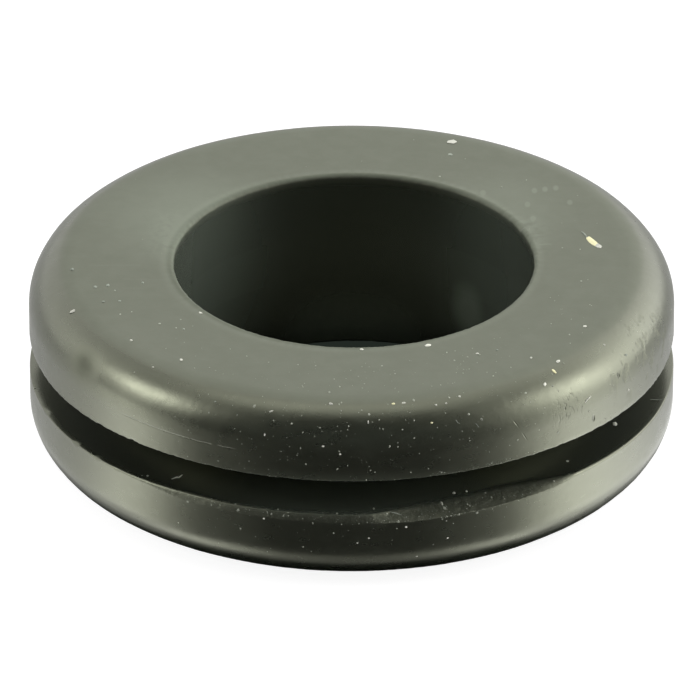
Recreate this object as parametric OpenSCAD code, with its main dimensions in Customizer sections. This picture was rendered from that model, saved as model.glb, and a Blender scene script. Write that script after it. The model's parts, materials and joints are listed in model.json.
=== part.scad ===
// Rubber panel grommet.
// A ring moulded in one piece: two flanges with rounded rims, joined by a narrower hub.
// The panel sits in the groove between the flanges, its hole edge against the hub,
// and the cable passes through the bore.
// The origin is the centre of the bottom face, on the bore axis. Z runs along the bore.

/* [Panel] */
// Diameter of the panel hole that the hub fills
panel_hole_d = 19; // [17.5:0.5:22.5]
// Thickness of the panel that the groove holds, and so the groove's width
panel_t = 1.5; // [0.8:0.1:4]

/* [Cable] */
// Diameter of the bore that the cable passes through
bore_d = 14; // [6:0.5:16.5]

/* [Flanges] */
// Outside diameter of both flanges
flange_d = 25; // [23.5:0.5:40]
// Thickness of the bottom flange, from its face to the groove
bottom_flange_t = 3.15; // [1.8:0.05:5]
// Thickness of the top flange, from the groove to its face
top_flange_t = 2.85; // [1.8:0.05:5]

/* [Edges] */
// Radius of the rounded rim of each flange
rim_r = 1.8; // [0.4:0.1:3]
// Radius that breaks the sharp edge at each mouth of the bore
mouth_r = 0.15; // [0.05:0.05:0.5]
// Radius in the two inner corners of the groove
root_r = 0.25; // [0.05:0.05:0.4]

/* [Hidden] */

$fn = 180;

// Radii of the surfaces about the bore axis
bore_r = bore_d / 2;
hub_r = panel_hole_d / 2;
flange_r = flange_d / 2;

// Heights, from the bottom face up
groove_bottom = bottom_flange_t;
groove_top = groove_bottom + panel_t;
overall_h = groove_top + top_flange_t;

// The rounding of a groove corner stops at the groove's middle
root_fit_r = min(root_r, panel_t / 2);

// How far a cutting shape runs past the surface that it cuts
past = 1;

rubber = [0.13, 0.13, 0.12];

// What a rounding of radius r takes off a square corner.
// The corner is at the origin and the solid lies towards +X and +Y.
module corner_cut(r) {
    difference() {
        translate([-past, -past]) square(r + past);
        translate([r, r]) circle(r = r);
    }
}

// The two roundings of a flange's face, which lies on the X axis: its rim and its bore's mouth.
// The rim's rounding stops at the groove, or at the mouth's own rounding.
module face_cuts(flange_t) {
    rim_fit_r = min(rim_r, flange_t, flange_r - bore_r - mouth_r);
    translate([flange_r, 0]) mirror([1, 0]) corner_cut(rim_fit_r);
    translate([bore_r, 0]) corner_cut(mouth_r);
}

// Section of the groove, open towards the outside, with rounded inner corners
module groove_section() {
    difference() {
        translate([hub_r, groove_bottom]) square([flange_r - hub_r + past, panel_t]);
        translate([hub_r, groove_bottom]) corner_cut(root_fit_r);
        translate([hub_r, groove_top]) mirror([0, 1]) corner_cut(root_fit_r);
    }
}

// Half section of the whole ring, in the plane of the bore axis
module ring_section() {
    difference() {
        translate([bore_r, 0]) square([flange_r - bore_r, overall_h]);
        face_cuts(bottom_flange_t);
        translate([0, overall_h]) mirror([0, 1]) face_cuts(top_flange_t);
        groove_section();
    }
}

// The grommet, moulded as one piece of rubber
module grommet() {
    color(rubber) rotate_extrude() ring_section();
}

grommet();
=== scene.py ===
"""Looks for a moulded rubber panel grommet: the ring, the dust and lint on it, and a small studio around it.

Angles are measured about the bore axis, in degrees: 0 faces the front, +90 the right and -90 the left.
Lengths in the settings are metres, and the ring's section is worked out in millimetres.
"""

import json
import math
import random

import bmesh
import bpy
from bpy.props import FloatProperty, FloatVectorProperty, IntProperty, PointerProperty
from bpy.types import Operator, Panel, PropertyGroup
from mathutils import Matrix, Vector, noise
from mathutils.bvhtree import BVHTree


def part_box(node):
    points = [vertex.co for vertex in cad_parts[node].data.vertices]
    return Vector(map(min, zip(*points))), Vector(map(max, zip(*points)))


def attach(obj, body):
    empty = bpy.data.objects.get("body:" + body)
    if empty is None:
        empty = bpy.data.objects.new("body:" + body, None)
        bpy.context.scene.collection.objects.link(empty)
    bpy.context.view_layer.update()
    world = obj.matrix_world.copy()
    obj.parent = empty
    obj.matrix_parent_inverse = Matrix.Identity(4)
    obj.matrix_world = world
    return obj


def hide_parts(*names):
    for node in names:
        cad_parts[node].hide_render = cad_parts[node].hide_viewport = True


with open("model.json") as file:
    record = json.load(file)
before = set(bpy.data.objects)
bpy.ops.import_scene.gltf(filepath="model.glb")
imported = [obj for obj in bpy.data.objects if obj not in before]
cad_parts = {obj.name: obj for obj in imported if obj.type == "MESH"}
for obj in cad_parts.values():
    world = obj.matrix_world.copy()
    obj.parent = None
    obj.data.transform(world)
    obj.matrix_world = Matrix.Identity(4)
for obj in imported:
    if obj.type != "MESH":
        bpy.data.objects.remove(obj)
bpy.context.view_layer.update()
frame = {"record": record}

bl_info = {
    "name": "Rubber Grommet",
    "version": (1, 0, 0),
    "blender": (4, 5, 0),
    "location": "View3D > Sidebar > Grommet",
    "description": "Builds a moulded rubber panel grommet with its dust, lint and studio",
    "category": "Object",
}

MM = 0.001
NODE = "grommet"
BODY = "root"
RING = "rubber_ring"
SPECKS = "dust_specks"
LINT = "lint"

low_corner, high_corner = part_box(NODE)
MOUNTS = {mount["name"]: mount for mount in frame["record"]["mounts"]}

# The construction, in millimetres
FLANGE_R = (high_corner.x - low_corner.x) / 2 / MM
HEIGHT = high_corner.z / MM
BORE_R = MOUNTS["bore"]["dims"]["r_mm"]
HUB_R = MOUNTS["panel_groove"]["dims"]["r_mm"]
GROOVE_W = MOUNTS["panel_groove"]["dims"]["length_mm"]
GROOVE_LOW = MOUNTS["panel_groove"]["pos_m"][2] / MM - GROOVE_W / 2
GROOVE_TOP = GROOVE_LOW + GROOVE_W
HAIR = 0.002  # how far inside the moulded size dust and lint stay


# ---------------------------------------------------------------- settings


def length_setting(name, description, millimetres, **more):
    """A setting that is a length."""
    return FloatProperty(name=name, description=description, default=millimetres * MM, unit="LENGTH", **more)


def colour_setting(name, description, *colour):
    """A setting that is a colour, given as red, green and blue."""
    return FloatVectorProperty(name=name, description=description, default=colour, subtype="COLOR")


class RingSettings(PropertyGroup):
    """Sizes of the moulding that the record doesn't give."""

    rim_radius: length_setting("Rim radius", "Rounding of each flange's rim", 1.8)
    mouth_radius: length_setting("Mouth radius", "Rounding at each mouth of the bore", 0.15)
    root_radius: length_setting("Root radius", "Rounding in the groove's inner corners", 0.25)
    lip_radius: length_setting("Lip radius", "Rounding of the upper lip of the groove", 0.08)
    skin: length_setting("Skin", "Room kept under the moulded size for dust", 0.03)
    bore_shift: FloatVectorProperty(
        name="Bore shift",
        description="How far off centre the bore's core pin sat, to the right and to the back",
        size=2,
        default=(0.09 * MM, 0.03 * MM),
        unit="LENGTH",
    )
    columns: IntProperty(
        name="Columns",
        description="Columns of faces round the ring, an even number",
        default=720,
    )


class FinishSettings(PropertyGroup):
    """Colours and gloss."""

    rubber: colour_setting("Rubber", "Colour of the bare rubber", 0.0105, 0.0125, 0.0090)
    # The pale film's colour, which also paints light in the bore and highlight streaks on the lower right
    # wall
    film_and_painted_light: colour_setting("Bloom", "Colour of the pale film on the rubber", 0.103, 0.120, 0.096)
    torn: colour_setting("Torn rubber", "Colour of torn and scuffed edges", 0.017, 0.020, 0.015)
    dust: colour_setting("Dust", "Colour of the dust", 0.42, 0.44, 0.36)
    lint: colour_setting("Lint", "Colour of fibres and flakes", 0.8, 0.8, 0.7)
    chip: colour_setting("Chip", "Colour of the yellow chips", 0.94, 0.90, 0.55)
    faint: colour_setting("Faint lint", "Colour of the thinnest lint", 0.33, 0.36, 0.3)
    gloss_tint: colour_setting("Gloss tint", "Colour of the rubber's reflections", 0.965, 1.0, 0.74)
    roughness: FloatProperty(
        name="Roughness",
        description="Roughness of clean rubber",
        default=0.27,
        subtype="FACTOR",
    )


class DustSettings(PropertyGroup):
    """How much dust lies on the ring."""

    count: IntProperty(name="Specks", description="Number of fine specks", default=950)
    size: length_setting("Size", "Radius of a middling speck", 0.014, precision=6)
    seed: IntProperty(name="Seed", description="Start of the random draws", default=4)


class StageSettings(PropertyGroup):
    """The studio."""

    elevation: FloatProperty(
        name="Elevation",
        description="Height of the camera's view above level",
        default=math.radians(28.79),
        subtype="ANGLE",
    )
    distance: length_setting("Distance", "From the camera to the grommet", 500)
    focal_length: FloatProperty(
        name="Focal length",
        description="Lens in millimetres, for a 36 mm sensor",
        default=664.0,
    )
    light: FloatProperty(name="Light", description="Brightness of the light tent", default=1.0)


# ---------------------------------------------------------------- small sums


def smooth(low, high, value):
    """0 below low, 1 above high, and a soft rise between them."""
    t = min(max((value - low) / (high - low), 0.0), 1.0)
    return t * t * (3 - 2 * t)


def hill(centre, half_width, value):
    """1 at the centre, and a soft fall to 0 at half_width on each side."""
    return smooth(half_width, 0, abs(value - centre))


def bell(centre, spread, value):
    """1 at the centre, with soft tails on both sides."""
    return math.exp(-(((value - centre) / spread) ** 2) / 2)


def between(points, value):
    """Straight lines through (value, a, b, ...) points: the row of a, b, ... at a value."""
    if value <= points[0][0]:
        return points[0][1:]
    for before, after in zip(points, points[1:]):
        if value <= after[0]:
            t = (value - before[0]) / (after[0] - before[0])
            return tuple(p + (q - p) * t for p, q in zip(before[1:], after[1:]))
    return points[-1][1:]


def around(angle, radius, height):
    """The point at an angle in degrees about the bore axis, all in millimetres."""
    a = math.radians(angle)
    return Vector((radius * math.sin(a), -radius * math.cos(a), height))


def wander(angle, detail, seed):
    """Smooth noise from -1 to 1 that closes round the ring. A bigger detail gives shorter waves."""
    a = math.radians(angle)
    return noise.noise(Vector((detail * math.sin(a), detail * math.cos(a), seed)))


# ---------------------------------------------------------------- the ring


# How the lower lip is worn and torn: angle, how far down the wall, how far in along the groove, and how torn
TEAR = (
    (-75, 0.03, 0.03, 0.0),
    (-50, 0.04, 0.04, 0.1),
    (-38, 0.10, 0.07, 0.3),
    (-30, 0.26, 0.10, 0.6),
    (-8, 0.26, 0.08, 0.6),
    (1, 0.28, 0.08, 0.7),
    (3.5, 0.30, 0.12, 0.8),
    (6.5, 0.33, 0.38, 1.0),
    (10, 0.34, 0.56, 1.0),
    (14, 0.32, 0.70, 1.0),
    (18, 0.29, 0.80, 1.0),
    (26, 0.27, 0.92, 1.0),
    (32, 0.24, 0.80, 0.9),
    (38, 0.20, 0.45, 0.6),
    (43, 0.10, 0.10, 0.2),
    (70, 0.05, 0.05, 0.0),
)

# Small nicks in the lower lip: angle, half width in degrees, depth
NICKS = ((-71, 1.5, 0.10), (-58, 1.6, 0.14), (-51.5, 1.4, 0.16), (-46, 1.0, 0.08))


# Waves round the ring, each a detail and a seed. A bigger detail gives shorter waves.
BORE_WAVES = (3, 2.5)
MOUTH_CHIPS = (34, 8.5)
MOUTH_WAVES = (60, 1.5)
DOWN_WAVES = (45, 4.5)
DOWN_RIPPLES = (90, 5.5)
INWARD_WAVES = (40, 6.5)
INWARD_RIPPLES = (90, 7.5)
UPPER_LIP_WAVES = (70, 9.5)
UPPER_LIP_WEAR = (60, 3.5)
FOOT_WAVES = (30, 11.5)

BORE_UNDERSIZE = 0.05
GROOVE_DROOP = 0.14  # how far the groove sits lower at the sides than at the front
LEAST_WEAR = 0.02
CRISP = 0.03  # width of the narrow rows that keep an edge crisp under smooth shading
TORN_STOPS = (0, 0.03, 0.2, 0.4, 0.6, 0.8)


def line(start, end, steps, mark="clean"):
    """Marked points from start up to, and not including, end."""
    (r0, z0), (r1, z1) = start, end
    return [(r0 + (r1 - r0) * i / steps, z0 + (z1 - z0) * i / steps, mark) for i in range(steps)]


def arc(centre, radius, start, end, steps, mark="clean"):
    """Marked points round an arc, up to, and not including, the end angle. Angles are in degrees."""
    points = []
    for i in range(steps):
        a = math.radians(start + (end - start) * i / steps)
        points.append((centre[0] + radius * math.cos(a), centre[1] + radius * math.sin(a), mark))
    return points


def arc_between(start, end, bulge, stops, mark):
    """Marked points from start to end: straight with no bulge, and a quarter of an ellipse with a bulge of 1.

    The stops are the points' shares of the way, from 0.
    """
    (r0, z0), (r1, z1) = start, end
    points = []
    for t in stops:
        a = t * math.pi / 2
        r, z = r0 + (r1 - r0) * t, z0 + (z1 - z0) * t
        round_r, round_z = r1 + (r0 - r1) * math.cos(a), z0 + (z1 - z0) * math.sin(a)
        points.append((r + bulge * (round_r - r), z + bulge * (round_z - z), mark))
    return points


def bore_radius(ring, angle):
    """The bore at an angle: a little under its moulded size, off centre and slightly wavy."""
    shift = Vector(ring.bore_shift) / MM
    a = math.radians(angle)
    off_centre = shift.x * math.sin(a) - shift.y * math.cos(a)
    return BORE_R - BORE_UNDERSIZE + off_centre + 0.012 * wander(angle, *BORE_WAVES)


def mouth_rounding(ring, angle):
    """The rounding at the bore's mouth, with small chips towards the back."""
    rear = smooth(60, 130, abs(angle))
    chip = (0.06 + 0.12 * hill(112, 30, angle)) * max(wander(angle, *MOUTH_CHIPS), 0) * rear
    return ring.mouth_radius / MM + chip + 0.02 * wander(angle, *MOUTH_WAVES) + 0.02 * rear


def lower_lip_wear(angle):
    """How far the lower lip is worn down the wall and in along the groove, and how torn it is."""
    down, inward, torn = between(TEAR, angle)
    down += sum(depth * hill(middle, half, angle) for middle, half, depth in NICKS)
    down *= 1 + 0.06 * torn * wander(angle, *DOWN_WAVES)
    down += 0.012 * torn * wander(angle, *DOWN_RIPPLES)
    inward *= 1 + 0.05 * torn * wander(angle, *INWARD_WAVES)
    inward += 0.02 * torn * wander(angle, *INWARD_RIPPLES)
    return max(down, LEAST_WEAR), max(inward, LEAST_WEAR), torn


def upper_lip_rounding(ring, angle):
    """The rounding of the upper lip, rougher at the front right and with one nick at the left."""
    rounding = ring.lip_radius / MM * (1 + 0.5 * wander(angle, *UPPER_LIP_WAVES))
    rounding += 0.05 * hill(35, 22, angle) * max(wander(angle, *UPPER_LIP_WEAR), 0)
    return rounding + 0.07 * hill(-42, 1.6, angle)


def ring_section(ring, angle):
    """The closed half section at an angle: along the base, up the outside, over the top and down the bore."""
    rim, root = ring.rim_radius / MM, ring.root_radius / MM
    out, top = FLANGE_R - ring.skin / MM, HEIGHT - ring.skin / MM
    bore, mouth = bore_radius(ring, angle), mouth_rounding(ring, angle)
    down, inward, torn = lower_lip_wear(angle)
    lip = upper_lip_rounding(ring, angle)
    droop = GROOVE_DROOP * hill(75, 50, abs(angle))
    low, high = GROOVE_LOW - droop, GROOVE_TOP - droop
    points = []
    points += line((bore + mouth, 0), (out - rim, 0), 8, "base")
    points += arc((out - rim, rim), rim, -90, 0, 20, "foot")
    points += line((out, rim), (out, low - down - CRISP), 8, "wall")
    points.append((out, low - down - CRISP, "wall"))
    points += arc_between((out, low - down), (out - inward, low), 1 - torn, TORN_STOPS, "torn")
    points += line((out - inward, low), (HUB_R + root, low), 8, "groove")
    points += arc((HUB_R + root, low + root), root, 270, 180, 3, "groove")
    points += line((HUB_R, low + root), (HUB_R, high - root), 3, "groove")
    points += arc((HUB_R + root, high - root), root, 180, 90, 3, "groove")
    points += line((HUB_R + root, high), (out - lip, high), 7, "groove")
    points += arc((out - lip, high + lip), lip, -90, 0, 4, "lip")
    points += line((out, high + lip), (out, top - rim), 7, "wall")
    points += arc((out - rim, top - rim), rim, 0, 90, 23, "rim")
    points += line((out - rim, top), (bore + mouth + CRISP, top), 9, "top")
    points.append((bore + mouth + CRISP, top, "top"))
    points += arc((bore + mouth, top - mouth), mouth, 90, 180, 5, "mouth")
    points.append((bore, top - mouth, "bore"))
    points += line((bore, top - mouth - CRISP), (bore, mouth), 13, "bore")
    points += arc((bore + mouth, mouth), mouth, 180, 270, 4, "base")
    return points


# Slight unevenness by kind of surface, in millimetres: broad waves, then fine ones
UNEVEN = {
    "wall": (0.014, 0.003),
    "rim": (0.012, 0.003),
    "foot": (0.014, 0.006),
    "top": (0.008, 0.001),
    "mouth": (0.004, 0.012),
    "lip": (0.006, 0.02),
    "torn": (0.008, 0.012),
    "groove": (0.004, 0.0),
    "bore": (0.012, 0.002),
    "base": (0.0, 0.0),
}
BROAD_SCALE = 0.35  # how tightly the broad waves follow each other, per millimetre
FINE_SCALE = 6.0
SHRINK = 0.35  # the broad waves run more inwards than outwards
MOST_OUTWARD = 0.004


def uneven(section, angle):
    """The section's points moved a little in and out, as a real moulding is."""
    moved = []
    for i, (r, z, mark) in enumerate(section):
        (r0, z0, _), (r1, z1, _) = section[i - 1], section[(i + 1) % len(section)]
        away = Vector((z1 - z0, r0 - r1)).normalized()
        broad, fine = UNEVEN[mark]
        if mark == "torn":
            fine *= between(TEAR, angle)[2]
        place = around(angle, r, z)
        step = broad * (noise.noise(place * BROAD_SCALE) - SHRINK) + fine * noise.noise(place * FINE_SCALE)
        if mark == "foot" and 25 < angle < 75:
            step += 0.02 * max(wander(angle, *FOOT_WAVES), 0) * hill(0.8, 0.6, z)
        step = min(step, MOST_OUTWARD)
        moved.append((r + away.x * step, max(z + away.y * step, 0.0)))
    return moved


def ring_columns(model, ring):
    """The ring's vertices, a column of them for each angle, marked where they are torn or dusty."""
    torn_mark = model.verts.layers.float.new("torn")
    dusty_mark = model.verts.layers.float.new("dusty")
    columns = []
    for j in range(ring.columns):
        angle = -180 + 360 * j / ring.columns
        section = ring_section(ring, angle)
        torn = between(TEAR, angle)[2]
        column = []
        for (r, z), (_, _, mark) in zip(uneven(section, angle), section):
            vertex = model.verts.new(around(angle, r, z) * MM)
            vertex[torn_mark] = torn if mark == "torn" else 0.0
            vertex[dusty_mark] = {"torn": torn, "lip": 1.0}.get(mark, 0.0)
            column.append(vertex)
        columns.append(column)
    return columns


def shares_of_way(section):
    """How far along the closed section each point is, from 0, and last the way back to the first point, 1."""
    lengths = [0.0]
    for (r0, z0, _), (r1, z1, _) in zip(section, section[1:] + section[:1]):
        lengths.append(lengths[-1] + math.hypot(r1 - r0, z1 - z0))
    return [length / lengths[-1] for length in lengths]


BAKE_MARGIN = 0.005


def build_ring(ring):
    """The whole moulding as one closed mesh. The map that a bake uses unrolls it in two bands."""
    model = bmesh.new()
    columns = ring_columns(model, ring)
    way = shares_of_way(ring_section(ring, 180))
    unrolled = model.loops.layers.uv.new("OFBake")
    half, rows = len(columns) // 2, len(way) - 1
    for j, left in enumerate(columns):
        right = columns[(j + 1) % len(columns)]
        band, across = divmod(j, half)
        u0, u1 = across / half, (across + 1) / half
        for i in range(rows):
            k = (i + 1) % rows
            face = model.faces.new((left[i], right[i], right[k], left[k]))
            face.smooth = True
            v0, v1 = way[i], way[i + 1]
            for loop, (u, v) in zip(face.loops, ((u0, v0), (u1, v0), (u1, v1), (u0, v1))):
                u = BAKE_MARGIN + (1 - 2 * BAKE_MARGIN) * u
                v = BAKE_MARGIN + (0.5 - 2 * BAKE_MARGIN) * v + band * 0.5
                loop[unrolled].uv = (u, v)
    return finished(RING, model)


def finished(name, model):
    """A new object in the scene from a bmesh."""
    mesh = bpy.data.meshes.new(name)
    model.to_mesh(mesh)
    model.free()
    piece = bpy.data.objects.new(name, mesh)
    bpy.context.scene.collection.objects.link(piece)
    return piece


# ---------------------------------------------------------------- shader helpers


class Nodes:
    """Adds nodes to one tree, and links or sets their inputs."""

    def __init__(self, tree):
        self.tree = tree

    def add(self, kind, inputs=None, **settings):
        node = self.tree.nodes.new(kind)
        for name, value in settings.items():
            setattr(node, name, value)
        for name, value in (inputs or {}).items():
            self.feed(node.inputs[name], value)
        return node

    def feed(self, socket, value):
        if isinstance(value, bpy.types.NodeSocket):
            self.tree.links.new(value, socket)
        else:
            socket.default_value = value

    def math(self, operation, *values, clamp=False):
        node = self.add("ShaderNodeMath", operation=operation, use_clamp=clamp)
        for socket, value in zip(node.inputs, values):
            self.feed(socket, value)
        return node.outputs[0]

    def vector(self, operation, *values, output=0):
        node = self.add("ShaderNodeVectorMath", operation=operation)
        for socket, value in zip(node.inputs, values):
            self.feed(socket, value)
        return node.outputs[output]

    def scaled(self, vector, factor):
        node = self.add("ShaderNodeVectorMath", operation="SCALE")
        self.feed(node.inputs[0], vector)
        self.feed(node.inputs["Scale"], factor)
        return node.outputs[0]

    def rise(self, value, low, high, start=0.0, end=1.0):
        """A soft change from start to end as the value goes from low to high."""
        node = self.add("ShaderNodeMapRange", interpolation_type="SMOOTHSTEP")
        sockets = ("Value", "From Min", "From Max", "To Min", "To Max")
        for name, number in zip(sockets, (value, low, high, start, end)):
            self.feed(node.inputs[name], number)
        return node.outputs[0]

    def mix(self, factor, first, second):
        """A colour that goes from the first to the second as the factor goes from 0 to 1."""
        node = self.add("ShaderNodeMix", data_type="RGBA")
        self.feed(node.inputs[0], factor)
        self.feed(node.inputs[6], first)
        self.feed(node.inputs[7], second)
        return node.outputs[2]

    def group(self, tree, inputs):
        """Places a node group with its own values, and returns its first output."""
        node = self.add("ShaderNodeGroup", node_tree=tree)
        for name, value in inputs.items():
            self.feed(node.inputs[name], value)
        return node.outputs[0]


def new_group(name, inputs, output):
    """An empty node group with named sockets.

    It returns the group's Nodes, its input sockets by name, and a call that ends the group.
    """
    tree = bpy.data.node_groups.new(name, "ShaderNodeTree")
    for label, kind in inputs:
        tree.interface.new_socket(name=label, in_out="INPUT", socket_type=f"NodeSocket{kind}")
    tree.interface.new_socket(name=output, in_out="OUTPUT", socket_type="NodeSocketFloat")
    nodes = Nodes(tree)
    source = nodes.add("NodeGroupInput").outputs
    sink = nodes.add("NodeGroupOutput").inputs

    def end(value):
        nodes.feed(sink[output], value)
        return tree

    return nodes, source, end


def mottle_group(name):
    """Cloudy patches of a size in millimetres. Stretch flattens them, so that on a wall they run round it."""
    inputs = (
        ("Place", "Vector"),
        ("Size", "Float"),
        ("Stretch", "Float"),
        ("From", "Float"),
        ("To", "Float"),
    )
    nodes, source, end = new_group(name, inputs, "Mask")
    flat = nodes.add("ShaderNodeCombineXYZ", {"X": 1.0, "Y": 1.0, "Z": source["Stretch"]}).outputs[0]
    place = nodes.vector("MULTIPLY", source["Place"], flat)
    place = nodes.scaled(place, nodes.math("DIVIDE", 1.0, source["Size"]))
    cloud = nodes.add("ShaderNodeTexNoise", {"Vector": place, "Scale": 1.0, "Detail": 3.0, "Roughness": 0.55})
    return end(nodes.rise(cloud.outputs[0], source["From"], source["To"]))


def spot_group(name):
    """One soft-edged spot about a place, with its half size along x, y and z in millimetres."""
    inputs = (("Place", "Vector"), ("Centre", "Vector"), ("Half Size", "Vector"), ("Core", "Float"))
    nodes, source, end = new_group(name, inputs, "Mask")
    away = nodes.vector("SUBTRACT", source["Place"], source["Centre"])
    reach = nodes.vector("LENGTH", nodes.vector("DIVIDE", away, source["Half Size"]), output=1)
    return end(nodes.rise(reach, source["Core"], 1.0, 1.0, 0.0))


def scratch_group(name):
    """One fine line from a place to another, with its half width in millimetres."""
    inputs = (("Place", "Vector"), ("Start", "Vector"), ("End", "Vector"), ("Half Width", "Float"))
    nodes, source, end = new_group(name, inputs, "Mask")
    run = nodes.vector("SUBTRACT", source["End"], source["Start"])
    away = nodes.vector("SUBTRACT", source["Place"], source["Start"])
    reached = nodes.vector("DOT_PRODUCT", away, run, output=1)
    whole = nodes.vector("DOT_PRODUCT", run, run, output=1)
    along = nodes.math("DIVIDE", reached, whole, clamp=True)
    gap = nodes.vector("LENGTH", nodes.vector("SUBTRACT", away, nodes.scaled(run, along)), output=1)
    return end(nodes.rise(gap, 0.0, source["Half Width"], 1.0, 0.0))


GROUP_MAKERS = {"mottle": mottle_group, "spot": spot_group, "scratch": scratch_group}


def shared_group(name):
    """One of the groups above, made the first time that a material asks for it."""
    return bpy.data.node_groups.get(name) or GROUP_MAKERS[name](name)


class Marks:
    """Masks for one material, by their place in millimetres, from the shared groups."""

    def __init__(self, nodes):
        self.nodes = nodes
        self.place = nodes.scaled(nodes.add("ShaderNodeTexCoord").outputs["Object"], 1 / MM)

    def radius(self):
        return self.nodes.vector("LENGTH", self.nodes.vector("MULTIPLY", self.place, (1, 1, 0)), output=1)

    def height(self):
        return self.nodes.add("ShaderNodeSeparateXYZ", {"Vector": self.place}).outputs["Z"]

    def group(self, name, values):
        return self.nodes.group(shared_group(name), {"Place": self.place, **values})

    def clouds(self, size, stretch, start, end):
        return self.group("mottle", {"Size": size, "Stretch": stretch, "From": start, "To": end})

    def spot(self, angle, radius, height, half_size, core=0.0):
        """A soft spot at a place on the ring. The core is the full share of its half size."""
        centre = around(angle, radius, height)
        return self.group("spot", {"Centre": centre, "Half Size": half_size, "Core": core})

    def scratch(self, start, end, half_width):
        """A fine line from one (angle, radius, height) to another."""
        ends = {"Start": around(*start), "End": around(*end)}
        return self.group("scratch", {**ends, "Half Width": half_width})

    def both(self, first, second):
        return self.nodes.math("MULTIPLY", first, second)

    def added(self, value, parts, clamp=True):
        """The value with each (mask, amount) added to it in turn."""
        for mask, amount in parts:
            value = self.nodes.math("MULTIPLY_ADD", mask, amount, value, clamp=clamp)
        return value


# ---------------------------------------------------------------- materials


def new_material(name):
    """A new material with its Nodes and its Principled shader."""
    material = bpy.data.materials.new(name)
    material.use_nodes = True
    return material, Nodes(material.node_tree), material.node_tree.nodes["Principled BSDF"]


# The height of the faint line that the mould's edge left on the upper flange
SEAM_HEIGHT = 5.62


def ring_zones(marks):
    """Masks for the parts of the ring that differ in finish."""
    nodes, both = marks.nodes, marks.both
    radius, height = marks.radius(), marks.height()
    outside = nodes.rise(radius, BORE_R + 0.2, BORE_R + 0.6)
    from_middle = nodes.math("ABSOLUTE", nodes.math("SUBTRACT", height, (GROOVE_LOW + GROOVE_TOP) / 2))
    from_seam = nodes.math("ABSOLUTE", nodes.math("SUBTRACT", height, SEAM_HEIGHT))
    in_groove = both(
        nodes.rise(from_middle, GROOVE_W / 2 + 0.14, GROOVE_W / 2 + 0.2, 1.0, 0.0),
        nodes.rise(radius, FLANGE_R - 0.3, FLANGE_R - 0.1, 1.0, 0.0),
    )
    brim = both(
        nodes.rise(radius, BORE_R + 0.05, BORE_R + 0.25, 1.0, 0.0),
        nodes.rise(height, HEIGHT - 0.5, HEIGHT - 0.2),
    )
    return {
        "outside": outside,
        "in_groove": in_groove,
        "open_faces": both(outside, nodes.math("SUBTRACT", 1.0, in_groove)),
        "brim": brim,
        "top": nodes.rise(height, HEIGHT - 0.2, HEIGHT - 0.06),
        "seam": nodes.rise(from_seam, 0.0, 0.04, 1.0, 0.0),
        "smudge": both(marks.spot(-56.5, 12.3, 6.55, (1.15, 1.4, 1.0)), marks.clouds(0.8, 1.0, -0.1, 0.5)),
        "pits": both(marks.spot(64, 12.4, 6.1, (2.4, 4.0, 1.6), 0.5), marks.clouds(0.45, 0.7, 0.5, 0.66)),
        "torn": nodes.add("ShaderNodeAttribute", attribute_name="torn").outputs["Fac"],
        "dusty": nodes.add("ShaderNodeAttribute", attribute_name="dusty").outputs["Fac"],
    }


# Pale film in soft spots, and painted light in the bore: angle, radius, height, half size along x, y and z,
# core, and strength
FILM_AND_PAINTED_LIGHT_SPOTS = (
    (0, 10.5, 3.9, (8.0, 5.0, 1.4), 0.4, 0.5),
    # The next four are painted light on the bore's walls and rear foot
    (-120, 7.0, 4.5, (5.0, 5.5, 7.0), 0.2, 0.62),
    (125, 7.0, 4.5, (4.0, 5.0, 7.0), 0.2, 0.4),
    # A small painted reflection low on the bore's right rear wall
    (140, 7.0, 2.3, (1.1, 1.1, 1.6), 0.2, 0.6),
    (180, 7.0, 0.0, (4.5, 1.5, 3.0), 0.1, 0.9),
    (0, 12.2, 6.4, (6.0, 2.0, 0.7), 0.2, 0.08),
)

# Small pale drops on the top: angle and radius
DROPS = ((128.5, 9.1), (127.5, 9.5), (126.5, 9.9), (123.5, 8.2), (119, 9.7), (115.5, 7.8), (137, 7.5))
DROP_SIZE = (0.15, 0.3, 0.2)

# Pale rubbed lines, and painted highlight streaks: start and end as angle, radius and height, then half width
# and strength
RUBBED_LINES_AND_PAINTED_HIGHLIGHTS = (
    ((-87.5, 10.1, 7.5), (-87, 8.2, 7.5), 0.09, 0.12),
    ((-80, 8.9, 7.5), (-77, 7.2, 7.5), 0.08, 0.12),
    ((-75.5, 9.1, 7.5), (-74, 8.4, 7.5), 0.08, 0.12),
    ((99.7, 7.4, 7.5), (99.4, 7.8, 7.5), 0.12, 0.25),
    # The last two are painted highlight streaks on the lower right wall
    ((44.6, 12.5, 1.95), (45.6, 12.5, 2.0), 0.06, 0.6),
    ((37.5, 12.5, 1.55), (39.5, 12.5, 1.7), 0.04, 0.5),
)


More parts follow.
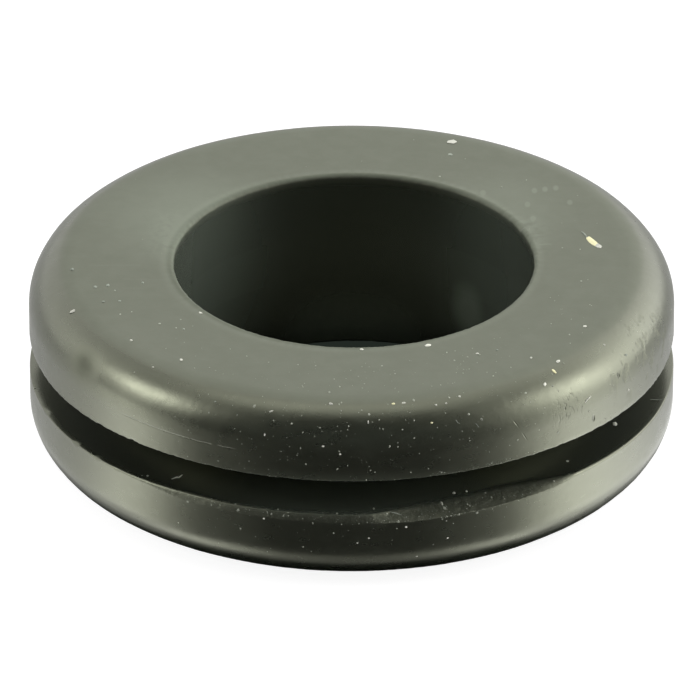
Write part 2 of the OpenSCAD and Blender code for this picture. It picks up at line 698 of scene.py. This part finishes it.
def rubber_colour(marks, zones, finish):
    """Black rubber under a thin pale film, with scuffed edges and crumbs of dust on the lips, and with
    painted light in the bore, a painted reflection there and painted highlight streaks on the lower right
    wall.
    """
    nodes, both, clouds, spot = marks.nodes, marks.both, marks.clouds, marks.spot
    films_and_painted_light = [
        (zones["top"], 0.38),
        (both(clouds(1.1, 2.5, 0.45, 0.75), zones["open_faces"]), 0.06),
        (zones["in_groove"], 0.04),
        (both(spot(-105, 7.3, 7.5, (1.3, 3.2, 1.0)), clouds(0.3, 1.0, 0.3, 0.6)), 0.3),
        (both(spot(105, 7.1, 7.5, (1.0, 2.6, 0.5), 0.3), clouds(0.35, 1.0, 0.35, 0.6)), 0.25),
    ]
    films_and_painted_light += [(spot(*place, half_size, core), strength) for *place, half_size, core, strength in FILM_AND_PAINTED_LIGHT_SPOTS]
    films_and_painted_light += [(marks.scratch(*ends, half_width), strength) for *ends, half_width, strength in RUBBED_LINES_AND_PAINTED_HIGHLIGHTS]
    films_and_painted_light += [(spot(angle, radius, HEIGHT, DROP_SIZE, 0.4), 0.5) for angle, radius in DROPS]
    # Inside the bore the film starts at 0.14, as painted light on the bore's walls
    film_and_painted_light = marks.added(nodes.rise(zones["outside"], 0.0, 1.0, 0.14, 0.0), films_and_painted_light)
    base = nodes.mix(film_and_painted_light, (*finish.rubber, 1), (*finish.film_and_painted_light, 1))
    frayed = both(zones["torn"], clouds(0.22, 1.0, 0.3, 0.6))
    base = nodes.mix(frayed, base, (*finish.torn, 1))
    crumbs = both(zones["dusty"], clouds(0.1, 1.0, 0.56, 0.68))
    return nodes.mix(nodes.math("MULTIPLY", crumbs, 0.12), base, (*finish.dust, 1))


def rubber_gloss(marks, zones, finish):
    """The roughness: matt on the top, the brim and torn places, and smoother on the left of the upper rim."""
    changes = (
        (marks.both(marks.clouds(0.7, 2.0, 0.3, 0.7), zones["open_faces"]), 0.05),
        (zones["torn"], 0.26),
        (zones["smudge"], 0.5),
        (zones["pits"], 0.2),
        (zones["brim"], 0.25),
        (zones["top"], 0.3),
        (marks.spot(-50, 12.0, 7.0, (5.5, 4.5, 1.8), 0.1), -0.07),
    )
    return marks.added(finish.roughness, changes)


# Small dents in the right of the upper rim: angle, radius, height, half size along x, y and z, and depth
DENTS = (
    (47.7, 12.5, 5.15, (0.09, 0.09, 0.2), 0.05),
    (55.4, 12.4, 6.3, (0.09, 0.09, 0.2), 0.05),
    (40.8, 12.45, 6.15, (0.08, 0.08, 0.12), 0.04),
)


def rubber_relief(marks, zones):
    """The fine relief, in millimetres, as a normal."""
    both, clouds, spot = marks.both, marks.clouds, marks.spot
    scuffed = spot(42, 12.4, 6.0, (1.3, 1.3, 1.0), 0.3)
    seam = both(zones["seam"], clouds(0.5, 1.0, 0.35, 0.5))
    parts = [
        (both(clouds(0.09, 1.0, 0.2, 0.8), zones["open_faces"]), 0.0008),
        (both(clouds(0.9, 2.0, 0.2, 0.8), zones["open_faces"]), 0.003),
        (zones["pits"], -0.012),
        (zones["smudge"], -0.012),
        (both(scuffed, clouds(0.1, 0.25, 0.55, 0.7)), -0.007),
        (both(zones["torn"], clouds(0.2, 1.0, 0.25, 0.75)), -0.015),
        (both(seam, spot(-32, 12.5, 5.6, (3.6, 3.0, 1.0), 0.6)), -0.015),
        (marks.scratch((29.5, 12.35, 6.45), (32.5, 12.5, 5.3), 0.035), -0.008),
    ]
    parts += [(spot(*place, half_size, 0.3), -depth) for *place, half_size, depth in DENTS]
    height = marks.added(0.0, parts, clamp=False)
    return marks.nodes.add("ShaderNodeBump", {"Height": height, "Strength": 1.0, "Distance": MM}).outputs[0]


def rubber_material(finish):
    """Moulded black rubber."""
    material, nodes, shader = new_material("moulded_rubber")
    shader.inputs["IOR"].default_value = 1.65
    shader.inputs["Specular IOR Level"].default_value = 1.0
    shader.inputs["Specular Tint"].default_value = (*finish.gloss_tint, 1)
    marks = Marks(nodes)
    zones = ring_zones(marks)
    nodes.feed(shader.inputs["Base Color"], rubber_colour(marks, zones, finish))
    nodes.feed(shader.inputs["Roughness"], rubber_gloss(marks, zones, finish))
    nodes.feed(shader.inputs["Normal"], rubber_relief(marks, zones))
    return material


def dust_material(name, colour, roughness, darkest):
    """Matt dust or lint, uneven in colour: darkest is the share of the colour that its dark places have."""
    material, nodes, shader = new_material(name)
    shader.inputs["Roughness"].default_value = roughness
    shader.inputs["Specular IOR Level"].default_value = 0.3
    cloud = Marks(nodes).clouds(0.6, 1.0, 0.3, 0.7)
    darker = tuple(c * darkest for c in colour)
    nodes.feed(shader.inputs["Base Color"], nodes.mix(cloud, (*darker, 1), (*colour, 1)))
    return material


# ---------------------------------------------------------------- dust and lint


def surface_of(ring):
    """Finds the nearest place on the ring: a call from a point in millimetres to (point, normal)."""
    tree = BVHTree.FromObject(ring, bpy.context.evaluated_depsgraph_get())

    def nearest(point):
        place, normal, _, _ = tree.find_nearest(point * MM)
        return place / MM, normal

    return nearest


def kept_in(point):
    """The point, brought back inside the moulded size."""
    radius = math.hypot(point.x, point.y)
    most = FLANGE_R - HAIR
    inward = min(most / radius, 1.0)
    return Vector((point.x * inward, point.y * inward, min(max(point.z, HAIR), HEIGHT - HAIR)))


def local_frame(normal, turn):
    """Two directions along a surface, the first turned by an angle in degrees from level."""
    level = Vector((0, 0, 1)).cross(normal)
    if level.length < 0.2:
        level = Vector((1, 0, 0))
    level = (level - normal * level.dot(normal)).normalized()
    up = normal.cross(level)
    a = math.radians(turn)
    return level * math.cos(a) + up * math.sin(a), up * math.cos(a) - level * math.sin(a)


def add_grain(model, place, normal, half_size, turn, rng):
    """A small rough lump, half sunk into the surface."""
    along, across = local_frame(normal, turn)
    made = bmesh.ops.create_icosphere(model, subdivisions=1, radius=1.0)
    for vertex in made["verts"]:
        shape = vertex.co * (1 + 0.3 * (rng.random() - 0.5))
        point = place + along * shape.x * half_size[0]
        point += across * shape.y * half_size[1]
        point += normal * shape.z * half_size[2]
        vertex.co = kept_in(point) * MM


FIBRE_SIDES = 5


def add_fibre(model, path, radius, nearest):
    """A thin thread along points on the surface, slightly flattened and with pointed ends."""
    rings = []
    for i, point in enumerate(path):
        place, normal = nearest(point)
        ahead = (path[min(i + 1, len(path) - 1)] - path[max(i - 1, 0)]).normalized()
        side = ahead.cross(normal).normalized()
        thick = radius * math.sqrt(max(math.sin(math.pi * (i + 0.35) / (len(path) - 0.3)), 0.05))
        ring = []
        for k in range(FIBRE_SIDES):
            a = 2 * math.pi * k / FIBRE_SIDES
            offset = side * math.cos(a) * thick + normal * (math.sin(a) * 0.6 + 0.3) * thick
            ring.append(model.verts.new(kept_in(place + offset) * MM))
        rings.append(ring)
    for first, second in zip(rings, rings[1:]):
        for k in range(FIBRE_SIDES):
            n = (k + 1) % FIBRE_SIDES
            model.faces.new((first[k], first[n], second[n], second[k]))
    model.faces.new(rings[0][::-1])
    model.faces.new(rings[-1])


# Where fine dust gathers: share of the specks, middle angle, spread, the two ends of a stretch of the
# section as radius and height, and how many times the middling size the specks are there
DUSTY = (
    (0.20, 12, 28, (8.2, 7.5), (10.8, 7.5), 1),
    (0.06, 20, 90, (7.3, 7.5), (10.9, 7.5), 1),
    (0.24, 8, 26, (11.2, 7.4), (12.5, 6.0), 1),
    (0.16, 4, 24, (12.5, 6.0), (12.5, 4.7), 1),
    (0.18, 20, 25, (12.5, 4.85), (12.5, 4.65), 0.9),
    (0.06, 18, 10, (12.5, 2.9), (12.4, 2.8), 0.9),
    (0.10, -22, 16, (12.5, 2.9), (12.4, 3.1), 0.8),
    (0.10, 5, 30, (12.5, 3.05), (12.5, 1.3), 1),
    (0.05, 8, 30, (12.5, 2.9), (12.2, 3.2), 1),
    (0.04, 0, 110, (12.4, 6.4), (12.5, 1.6), 1),
    (0.04, 20, 7, (12.5, 2.7), (11.7, 3.15), 1.3),
    (0.01, 127, 9, (7.3, 7.5), (9.5, 7.5), 1.5),
)
BIGGEST_SPECK = 0.05  # in millimetres, before the last number of its row scales it


def scatter_specks(ring, dust):
    """Fine specks, thickest on the front of the rim and along the lips."""
    rng = random.Random(dust.seed)
    nearest = surface_of(ring)
    model = bmesh.new()
    shares = [row[0] for row in DUSTY]
    for _ in range(dust.count):
        _, middle, spread, (r0, z0), (r1, z1), coarse = rng.choices(DUSTY, shares)[0]
        angle = rng.gauss(middle, spread)
        t = rng.random()
        place, normal = nearest(around(angle, r0 + (r1 - r0) * t, z0 + (z1 - z0) * t))
        size = coarse * min(dust.size / MM * rng.lognormvariate(0, 0.55), BIGGEST_SPECK)
        level = abs(normal.z)
        half_length = size * rng.uniform(0.8, 1.3)
        half_width = size * rng.uniform(0.7, 1.2) * (1 + 0.7 * level)
        turn = 0 if level > 0.8 else rng.uniform(0, 180)
        add_grain(model, place, normal, (half_length, half_width, size / 2), turn, rng)
    return finished(SPECKS, model)


# Single flakes: angle, radius, height, length, width, turn, and 0 pale, 1 yellow or 2 faint
FLAKES = (
    (98.9, 9.42, 7.5, 1.0, 0.32, -64, 1),
    (96.7, 9.6, 7.5, 0.45, 0.3, -64, 0),
    (158, 10.5, 7.5, 0.44, 0.34, 0, 0),
    (156, 9.5, 7.5, 0.22, 0.22, 0, 2),
    (59, 10.4, 7.5, 0.15, 0.16, 0, 0),
    (56.5, 11.6, 7.3, 0.1, 0.09, 0, 0),
    (59.5, 12.2, 6.7, 0.18, 0.1, -30, 2),
    (58, 12.5, 5.4, 0.12, 0.1, 0, 0),
    (44.5, 11.2, 7.4, 0.26, 0.13, 10, 0),
    (42, 11.5, 7.3, 0.28, 0.12, 95, 1),
    (38.5, 11.8, 7.1, 0.2, 0.11, 50, 0),
    (41, 10.4, 7.5, 0.11, 0.16, 0, 0),
    (37.5, 9.1, 7.5, 0.1, 0.12, 0, 2),
    (32.5, 8.9, 7.5, 0.14, 0.1, 0, 0),
    (23, 7.45, 7.5, 0.28, 0.2, 30, 0),
    (3, 7.2, 7.5, 0.18, 0.14, 0, 0),
    (21, 11.4, 7.4, 0.1, 0.08, 0, 0),
    (18, 11.6, 7.3, 0.1, 0.09, 0, 0),
    (16, 11.6, 7.3, 0.1, 0.08, 0, 0),
    (8, 11.35, 7.4, 0.15, 0.11, 0, 1),
    (10, 11.35, 7.4, 0.17, 0.11, 0, 0),
    (14.5, 12.1, 6.8, 0.11, 0.08, 0, 1),
    (-4, 11.3, 7.4, 0.18, 0.13, -20, 0),
    (-15, 11.8, 7.15, 0.18, 0.08, 30, 0),
    (-15.5, 12.4, 6.4, 0.07, 0.13, 0, 0),
    (-5, 12.45, 6.15, 0.12, 0.07, 0, 0),
    (-2, 12.5, 5.85, 0.12, 0.07, 20, 0),
    (3, 12.0, 7.0, 0.06, 0.15, 0, 0),
    (-26, 11.8, 7.1, 0.08, 0.06, 0, 2),
    (-42, 11.3, 7.4, 0.11, 0.08, 0, 0),
    (-39, 10.3, 7.5, 0.13, 0.22, 0, 0),
    (-49, 8.5, 7.5, 0.1, 0.12, 0, 2),
    (-52.5, 10.6, 7.5, 0.12, 0.16, 0, 0),
    (-53.5, 7.2, 7.5, 0.12, 0.2, 40, 0),
    (-70, 11.4, 7.4, 0.19, 0.28, 0, 0),
    (-70.5, 10.1, 7.5, 0.14, 0.14, 0, 2),
    (-69.5, 9.5, 7.5, 0.14, 0.14, 0, 2),
    (-77.5, 10.1, 7.5, 0.16, 0.22, 0, 2),
    (-77.5, 9.6, 7.5, 0.16, 0.22, 0, 2),
    (-77, 8.25, 7.5, 0.12, 0.16, 0, 2),
    (-86, 10.8, 7.5, 0.18, 0.24, 0, 2),
    (-15.5, 12.5, 2.8, 0.1, 0.09, 0, 0),
    (3, 12.5, 2.2, 0.09, 0.07, 0, 0),
    (1, 12.5, 2.0, 0.08, 0.07, 0, 0),
    (11.5, 12.4, 1.2, 0.09, 0.07, 0, 0),
    (17, 12.5, 1.9, 0.1, 0.08, 0, 0),
    (9.5, 12.5, 2.6, 0.12, 0.1, 0, 0),
    (20, 11.35, 3.15, 0.13, 0.14, 0, 0),
    (22.5, 11.4, 3.15, 0.1, 0.16, 0, 0),
    (63.5, 11.3, 3.1, 0.2, 0.38, 0, 0),
    (45.5, 11.55, 3.1, 0.12, 0.14, 0, 0),
    (-40, 12.1, 3.1, 0.11, 0.12, 0, 2),
)

# Threads: each a row of (angle, radius, height) that it passes, then its thickness and colour
THREADS = (
    (((45.5, 12.5, 6.0), (46.2, 12.5, 6.1), (47.3, 12.5, 6.15)), 0.03, 0),
    (((-35.7, 11.75, 3.15), (-35.3, 11.55, 3.15), (-34.9, 11.5, 3.15), (-35, 11.25, 3.15)), 0.035, 0),
    (((75, 11.9, 3.0), (75.2, 12.2, 3.0), (75.5, 12.4, 3.0)), 0.022, 2),
    (((104.5, 9.2, 7.5), (103, 9.25, 7.5), (101, 9.3, 7.5)), 0.035, 2),
    (((19, 12.1, 6.8), (19.2, 12.2, 6.7), (19.6, 12.2, 6.65)), 0.014, 2),
    (((22.4, 12.3, 6.6), (22.7, 12.3, 6.5), (23, 12.35, 6.4)), 0.014, 2),
    (((7, 12.15, 3.15), (8, 12.2, 3.1), (9, 12.25, 3.05)), 0.02, 2),
)


FLAKE_HALF_THICKNESS = 0.035
THREAD_STEPS = 4  # points from one stop of a thread to the next


def coloured(model, first, colour):
    """Gives the faces from the first one on the material with a number."""
    model.faces.ensure_lookup_table()
    for face in model.faces[first:]:
        face.material_index = colour


def lay_lint(ring, dust):
    """The flakes and threads that are big enough to see one by one."""
    rng = random.Random(dust.seed + 1)
    nearest = surface_of(ring)
    model = bmesh.new()
    for angle, radius, height, length, width, turn, colour in FLAKES:
        place, normal = nearest(around(angle, radius, height))
        before = len(model.faces)
        add_grain(model, place, normal, (length / 2, width / 2, FLAKE_HALF_THICKNESS), turn, rng)
        coloured(model, before, colour)
    for path, thickness, colour in THREADS:
        stops = [around(*stop) for stop in path]
        points = []
        for first, second in zip(stops, stops[1:]):
            points += [first.lerp(second, i / THREAD_STEPS) for i in range(THREAD_STEPS)]
        before = len(model.faces)
        add_fibre(model, points + stops[-1:], thickness, nearest)
        coloured(model, before, colour)
    return finished(LINT, model)


# ---------------------------------------------------------------- stage


# The tent's soft lights: name, azimuth, elevation, spread sideways and upwards in degrees, and brightness
SOFT_LIGHTS = (
    ("back", 180, 15, 40, 35, 0.8),
    ("back_left", -140, 10, 20, 30, 0.6),
    ("back_right", 140, 20, 20, 30, 1.2),
    ("back_high", 180, 50, 45, 15, 0.3),
    ("left_side", -115, 15, 10, 25, 0.9),
    ("left_high", -100, 50, 20, 15, 0.2),
    ("left_key", -82, 33, 9.5, 8, 6.1),
    ("left_low", -80, 12, 10, 18, 1.7),
    ("right_front", 65, 20, 10, 20, 0.7),
    ("right_key", 87, 28, 8, 11, 5.6),
    ("right_low", 90, 5, 15, 20, 2.8),
    ("right_side", 120, 15, 15, 25, 1.8),
    ("top_back", 180, 80, 15, 10, 0.6),
    ("top_left", -115, 75, 12, 8, 1.0),
    ("top_right", 110, 80, 15, 8, 0.5),
    ("top_front", 0, 87, 30, 10, 0.4),
)
TENT_BASE = 0.05  # the tent's brightness away from its lights
TENT_RADIUS = 0.55  # in metres
TENT_STEP = 4  # degrees between the tent's vertices


def tent_glow(way):
    """How bright the tent is in a direction, where 1 is white."""
    level = TENT_BASE
    for _, azimuth, elevation, sideways, upwards, brightness in SOFT_LIGHTS:
        e = math.radians(elevation)
        ahead, side = around(azimuth, math.cos(e), math.sin(e)), around(azimuth + 90, 1, 0)
        aside = math.degrees(math.atan2(way.dot(side), way.dot(ahead)))
        above = math.degrees(math.asin(max(min(way.dot(ahead.cross(side)), 1), -1)))
        level += brightness * bell(0, sideways, aside) * bell(0, upwards, above)
    return level


def glow_material(name):
    """Plain white light, as strong as the mesh's glow."""
    material, nodes, _ = new_material(name)
    level = nodes.add("ShaderNodeAttribute", attribute_name="glow").outputs["Fac"]
    light = nodes.add("ShaderNodeEmission", {"Strength": level})
    nodes.feed(material.node_tree.nodes["Material Output"].inputs["Surface"], light.outputs[0])
    return material


def add_tent(stage):
    """A tent of soft light over the ring, which the camera sees through."""
    model = bmesh.new()
    glow = model.verts.layers.float.new("glow")
    rings = []
    for elevation in range(0, 90, TENT_STEP):
        e = math.radians(elevation)
        ring = []
        for azimuth in range(0, 360, TENT_STEP):
            way = around(azimuth, math.cos(e), math.sin(e))
            vertex = model.verts.new(way * TENT_RADIUS)
            vertex[glow] = tent_glow(way) * stage.light
            ring.append(vertex)
        rings.append(ring)
    crown = model.verts.new((0, 0, TENT_RADIUS))
    crown[glow] = tent_glow(Vector((0, 0, 1))) * stage.light
    count = len(rings[0])
    for lower, upper in zip(rings, rings[1:]):
        for k in range(count):
            n = (k + 1) % count
            model.faces.new((lower[k], upper[k], upper[n], lower[n]))
    for k in range(count):
        model.faces.new((rings[-1][k], crown, rings[-1][(k + 1) % count]))
    tent = finished("light_tent", model)
    tent.data.materials.append(glow_material("tent_glow"))
    tent.visible_camera = False


# Where the camera aims, in millimetres: a little left of the bore's axis and below the middle of the height
AIM_LEFT, AIM_DOWN = 0.065, 0.252


def add_camera(stage):
    """A long lens on the front side, which looks down at the stage's elevation."""
    data = bpy.data.cameras.new("camera")
    data.lens = stage.focal_length
    camera = bpy.data.objects.new("camera", data)
    aim = Vector((-AIM_LEFT, 0, HEIGHT / 2 - AIM_DOWN)) * MM
    back = Vector((0, -math.cos(stage.elevation), math.sin(stage.elevation)))
    camera.location = aim + back * stage.distance
    camera.rotation_euler = back.to_track_quat("Z", "Y").to_euler()
    bpy.context.scene.collection.objects.link(camera)
    bpy.context.scene.camera = camera


PAPER = (0.8, 0.8, 0.8, 1)
# Painted shade on the paper for everything but the camera: in the middle of the bore, then under the ring
PAINTED_SHADE_IN_BORE = (0.13, 0.14, 0.12, 1)
PAINTED_SHADE_UNDER_RING = (0.03, 0.035, 0.03, 1)
SEEN_SHADE = (0.25, 0.25, 0.25, 1)
SEEN_GLOW = (0.9, 0.9, 0.9, 1)
# Painted shade that the camera sees under the ring
SEEN_PAINTED_SHADE = (0.016, 0.021, 0.017, 1)
BLACK = (0.0, 0.0, 0.0, 1)


def paper_material():
    """Paper that the camera sees as white with a faint shadow, and with dark painted shade under the ring.

    The painted shade reaches a little way into the bore. The rest of the bore is white only to the camera,
    and has a lighter painted shade for everything else.
    """
    material, nodes, shader = new_material("floor_paper")
    shader.inputs["Roughness"].default_value = 1.0
    shader.inputs["Specular IOR Level"].default_value = 0.0
    radius = Marks(nodes).radius()
    near_bore_wall = nodes.rise(radius, BORE_R - 2.5, BORE_R - 0.9)
    # Painted shade for everything but the camera: dark under the ring, lighter in the middle of the bore
    painted_shade = nodes.mix(near_bore_wall, PAINTED_SHADE_IN_BORE, PAINTED_SHADE_UNDER_RING)
    in_the_open = nodes.rise(radius, FLANGE_R - 0.3, FLANGE_R + 0.1)
    nodes.feed(shader.inputs["Base Color"], nodes.mix(in_the_open, painted_shade, PAPER))
    past_foot = nodes.rise(radius, FLANGE_R - 1.65, FLANGE_R - 1.3)
    # Where the camera sees white, and elsewhere the painted shade under the ring
    clear_of_painted_shade = nodes.math("MAXIMUM", past_foot, nodes.math("SUBTRACT", 1.0, near_bore_wall))
    soft = nodes.add("ShaderNodeBsdfDiffuse", {"Color": nodes.mix(clear_of_painted_shade, BLACK, SEEN_SHADE)})
    glow = nodes.add("ShaderNodeEmission", {"Color": nodes.mix(clear_of_painted_shade, SEEN_PAINTED_SHADE, SEEN_GLOW)})
    seen = nodes.add("ShaderNodeAddShader")
    nodes.feed(seen.inputs[0], soft.outputs[0])
    nodes.feed(seen.inputs[1], glow.outputs[0])
    camera_ray = nodes.add("ShaderNodeLightPath").outputs["Is Camera Ray"]
    split = nodes.add("ShaderNodeMixShader", {"Fac": camera_ray})
    nodes.feed(split.inputs[1], shader.outputs[0])
    nodes.feed(split.inputs[2], seen.outputs[0])
    nodes.feed(material.node_tree.nodes["Material Output"].inputs["Surface"], split.outputs[0])
    return material


FLOOR_HALF_SIDE = 0.6  # in metres
FLOOR_GAP = 0.01  # from the ring down to the floor, in millimetres


def add_floor():
    """A sheet of paper just under the ring, with painted shade under the ring."""
    model = bmesh.new()
    bmesh.ops.create_grid(model, x_segments=1, y_segments=1, size=FLOOR_HALF_SIDE)
    floor = finished("floor", model)
    floor.location.z = low_corner.z - FLOOR_GAP * MM
    floor.data.materials.append(paper_material())


CARD_STEPS = 144
# How far out from the flange the card's rings of vertices lie, after one under its rim, in millimetres
CARD_GAPS = (0.05, 0.25, 0.7, 1.1, 2.5, 4, 6, 8.5, 11.5, 15.5, 21.5, 31.5, 57.5, 137.5, 527.5)
CARD_LIFT = 0.02  # from the bottom of the ring up to the card, in millimetres
CARD_FRONT = 7.2  # the card's far glow is worked out round a point this far in front of the axis


def far_glow(place):
    """The card away from the foot: dark in front, and brightest at the front corners."""
    turn = abs(math.degrees(math.atan2(place.x, -(place.y + CARD_FRONT))))
    level = 0.06 + 0.25 * smooth(25, 60, turn) + 0.75 * smooth(54, 80, turn) - 0.35 * smooth(100, 130, turn)
    if place.x <= 0:
        return level + 1.6 * bell(81, 9, turn)
    level += 1.8 * bell(83, 12 if turn < 83 else 16, turn)
    return level * (1 + 0.2 * smooth(19.5, 17, math.hypot(place.x, place.y)))


def foot_glow(place):
    """The card close to the foot: dim at the very foot and in front, and bright further round and out."""
    angle = abs(math.degrees(math.atan2(place.x, -place.y)))
    sides = 1.4 if place.x > 0 else 0.7
    edge = 0.05 + 1.8 * bell(33, 10, angle) + sides * smooth(35, 60, angle)
    past_gap = smooth(FLANGE_R + 0.05, FLANGE_R + 0.25, math.hypot(place.x, place.y))
    return 0.35 + edge * past_gap


def card_glow(place):
    """How bright the reflector card is at a place in millimetres."""
    far, foot = far_glow(place), foot_glow(place)
    at_foot = smooth(FLANGE_R + 1.1, FLANGE_R + 0.7, math.hypot(place.x, place.y))
    return far + (foot - far) * at_foot


def add_card():
    """A card round the foot of the ring that only reflections see."""
    model = bmesh.new()
    glow = model.verts.layers.float.new("glow")
    spokes = []
    for i in range(CARD_STEPS):
        angle = -180 + 360 * i / CARD_STEPS
        inner = FLANGE_R - 0.1 - 0.3 * smooth(25, 45, abs(angle))
        spoke = []
        for radius in (inner, *(FLANGE_R + gap for gap in CARD_GAPS)):
            place = around(angle, radius, 0)
            vertex = model.verts.new(place * MM)
            vertex[glow] = card_glow(place)
            spoke.append(vertex)
        spokes.append(spoke)
    for i, first in enumerate(spokes):
        second = spokes[(i + 1) % CARD_STEPS]
        for k in range(len(first) - 1):
            model.faces.new((first[k], first[k + 1], second[k + 1], second[k]))
    card = finished("reflector_card", model)
    card.location.z = low_corner.z + CARD_LIFT * MM
    card.data.materials.append(glow_material("card_glow"))
    card.visible_camera = False
    card.visible_diffuse = False
    card.visible_shadow = False
    card.visible_transmission = False


WORLD_GLOW = 0.075  # what everything but the camera sees of the world


def add_world():
    """White for the camera, and nearly dark for everything else."""
    world = bpy.data.worlds.new("studio")
    bpy.context.scene.world = world
    world.use_nodes = True
    nodes = Nodes(world.node_tree)
    background = world.node_tree.nodes["Background"]
    camera_ray = nodes.add("ShaderNodeLightPath").outputs["Is Camera Ray"]
    nodes.feed(background.inputs["Color"], (1, 1, 1, 1))
    nodes.feed(background.inputs["Strength"], nodes.rise(camera_ray, 0.0, 1.0, WORLD_GLOW, 1.0))


# ---------------------------------------------------------------- operators


def claim(piece, materials):
    """Gives a piece its materials and lets it ride on the grommet."""
    for material in materials:
        piece.data.materials.append(material)
    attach(piece, BODY)


def the_ring():
    """The ring that dust and lint lie on."""
    ring = bpy.data.objects.get(RING)
    if ring is None:
        raise RuntimeError("Build the ring first, because dust and lint lie on it")
    return ring


class GROMMET_OT_ring(Operator):
    """Builds the moulded rubber ring"""

    bl_idname = "grommet.build_ring"
    bl_label = "Build Ring"

    def execute(self, context):
        scene = context.scene
        if scene.grommet_ring.columns % 2:
            raise ValueError("The ring needs an even number of columns")
        piece = build_ring(scene.grommet_ring)
        claim(piece, [rubber_material(scene.grommet_finish)])
        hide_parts(NODE)
        return {"FINISHED"}


class GROMMET_OT_dust(Operator):
    """Scatters fine dust over the ring"""

    bl_idname = "grommet.scatter_dust"
    bl_label = "Scatter Dust"

    def execute(self, context):
        scene = context.scene
        piece = scatter_specks(the_ring(), scene.grommet_dust)
        claim(piece, [dust_material("pale_dust", scene.grommet_finish.dust, 0.9, 0.55)])
        return {"FINISHED"}


class GROMMET_OT_lint(Operator):
    """Lays flakes and threads on the ring"""

    bl_idname = "grommet.lay_lint"
    bl_label = "Lay Lint"

    def execute(self, context):
        scene = context.scene
        finish = scene.grommet_finish
        piece = lay_lint(the_ring(), scene.grommet_dust)
        colours = (
            ("pale_lint", finish.lint, 0.6),
            ("yellow_chip", finish.chip, 0.8),
            ("faint_lint", finish.faint, 0.55),
        )
        claim(piece, [dust_material(name, colour, 0.8, darkest) for name, colour, darkest in colours])
        return {"FINISHED"}


class GROMMET_OT_stage(Operator):
    """Sets the camera, the floor, the reflector card, the light tent and the world"""

    bl_idname = "grommet.set_stage"
    bl_label = "Set Stage"

    def execute(self, context):
        stage = context.scene.grommet_stage
        add_camera(stage)
        add_floor()
        add_card()
        add_tent(stage)
        add_world()
        context.scene.view_settings.view_transform = "Standard"
        return {"FINISHED"}


class GROMMET_PT_panel(Panel):
    """Lists the grommet's steps and settings"""

    bl_idname = "GROMMET_PT_panel"
    bl_label = "Rubber Grommet"
    bl_space_type = "VIEW_3D"
    bl_region_type = "UI"
    bl_category = "Grommet"

    def draw(self, context):
        for operator, settings in STEPS:
            column = self.layout.column()
            column.operator(operator.bl_idname)
            group = getattr(context.scene, settings)
            for name in group.bl_rna.properties.keys():
                if name not in ("rna_type", "name"):
                    column.prop(group, name)


# Each step with the settings that the panel shows under it
STEPS = (
    (GROMMET_OT_ring, "grommet_ring"),
    (GROMMET_OT_dust, "grommet_dust"),
    (GROMMET_OT_lint, "grommet_finish"),
    (GROMMET_OT_stage, "grommet_stage"),
)
SETTINGS = {
    "grommet_ring": RingSettings,
    "grommet_finish": FinishSettings,
    "grommet_dust": DustSettings,
    "grommet_stage": StageSettings,
}
CLASSES = (*SETTINGS.values(), *(operator for operator, _ in STEPS), GROMMET_PT_panel)


def register():
    for kind in CLASSES:
        bpy.utils.register_class(kind)
    for name, kind in SETTINGS.items():
        setattr(bpy.types.Scene, name, PointerProperty(type=kind))


def unregister():
    for name in SETTINGS:
        delattr(bpy.types.Scene, name)
    for kind in reversed(CLASSES):
        bpy.utils.unregister_class(kind)


def main():
    register()
    bpy.ops.grommet.build_ring()
    bpy.ops.grommet.scatter_dust()
    bpy.ops.grommet.lay_lint()
    bpy.ops.grommet.set_stage()


if __name__ == "__main__":
    main()
